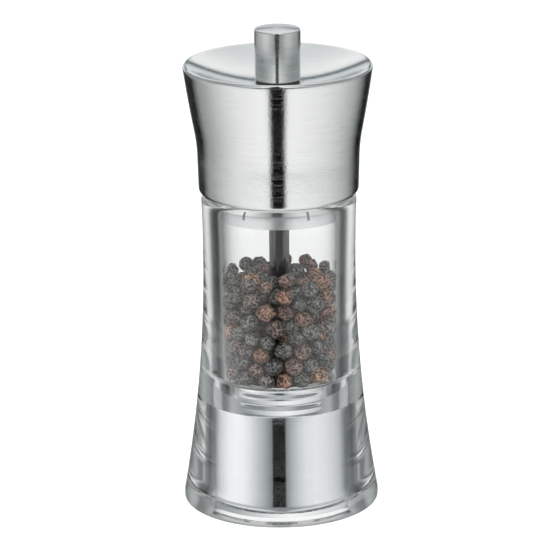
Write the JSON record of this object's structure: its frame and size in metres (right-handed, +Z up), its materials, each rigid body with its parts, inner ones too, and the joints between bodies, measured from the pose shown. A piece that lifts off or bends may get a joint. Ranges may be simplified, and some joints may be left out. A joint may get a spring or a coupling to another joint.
{
  "type": "pepper mill",
  "caption": "Upright pepper mill with a turning steel head, a dished top and adjusting knob, a thick clear waisted body with peppercorns, and a ceramic grinder in a chrome sleeve.",
  "frame": {"origin": "centre of the base, on the surface the mill stands on", "axes": "+Z up along the shaft, -Y towards the front of the picture"},
  "size_m": [0.0564, 0.0564, 0.14],
  "materials": {
    "clear_acrylic": "clear, polished",
    "sleeve_chrome": "mirror polished",
    "housing_plastic": "moulded, white",
    "bush_bronze": "turned",
    "spring_steel": "drawn wire",
    "washer_steel": "stamped",
    "ceramic": "opaque white ceramic, satin",
    "plate_steel": "brushed",
    "screw_steel": "turned",
    "shaft_steel": "drawn bar, satin",
    "ring_plastic": "moulded, white",
    "head_steel": "brushed around the axis",
    "core_plastic": "moulded, milky white",
    "knob_fibre": "pressed fibre",
    "knob_steel": "brushed around the axis",
    "insert_brass": "turned",
    "peppercorn": "dry, wrinkled"
  },
  "bodies": {
    "mill_body": {"clear_body": "clear_acrylic", "chrome_sleeve": "sleeve_chrome", "grinder_housing": "housing_plastic", "shaft_bush": "bush_bronze", "grinder_stator": "ceramic", "retaining_plate": "plate_steel", "plate_screws": "screw_steel", "grinder_spring": "spring_steel", "peppercorns": "peppercorn"},
    "lift": {"glide_ring": "ring_plastic"},
    "head": {"head_shell": "head_steel", "head_core": "core_plastic", "knob_washer": "knob_fibre"},
    "knob": {"adjusting_knob": "knob_steel", "knob_insert": "insert_brass"},
    "adjuster": {"thrust_washer": "washer_steel"},
    "spindle": {"drive_shaft": "shaft_steel", "grinder_rotor": "ceramic", "rotor_washer": "washer_steel", "rotor_screw": "screw_steel", "shaft_clip": "spring_steel"}
  },
  "joints": [
    {"name": "head_lift", "type": "slide", "parent": "mill_body", "child": "lift", "axis": [0, 0, 1], "range_m": [0, 0.055]},
    {"name": "head_turn", "type": "hinge", "parent": "lift", "child": "head", "pos_m": [0, 0, 0], "axis": [0, 0, 1], "continuous": true},
    {"name": "knob_turn", "type": "hinge", "parent": "head", "child": "knob", "pos_m": [0, 0, 0], "axis": [0, 0, 1], "range_deg": [0, 540]},
    {"name": "grind_gap", "type": "slide", "parent": "mill_body", "child": "adjuster", "axis": [0, 0, 1], "range_m": [-0.0012, 0], "deforming": ["grinder_spring"]},
    {"name": "shaft_turn", "type": "hinge", "parent": "adjuster", "child": "spindle", "pos_m": [0, 0, 0], "axis": [0, 0, 1], "continuous": true}
  ],
  "couplings": [
    {"joint": "shaft_turn", "follows": "head_turn", "ratio": 1},
    {"joint": "knob_turn", "follows": "grind_gap", "rad_per_m": -7854}
  ]
}
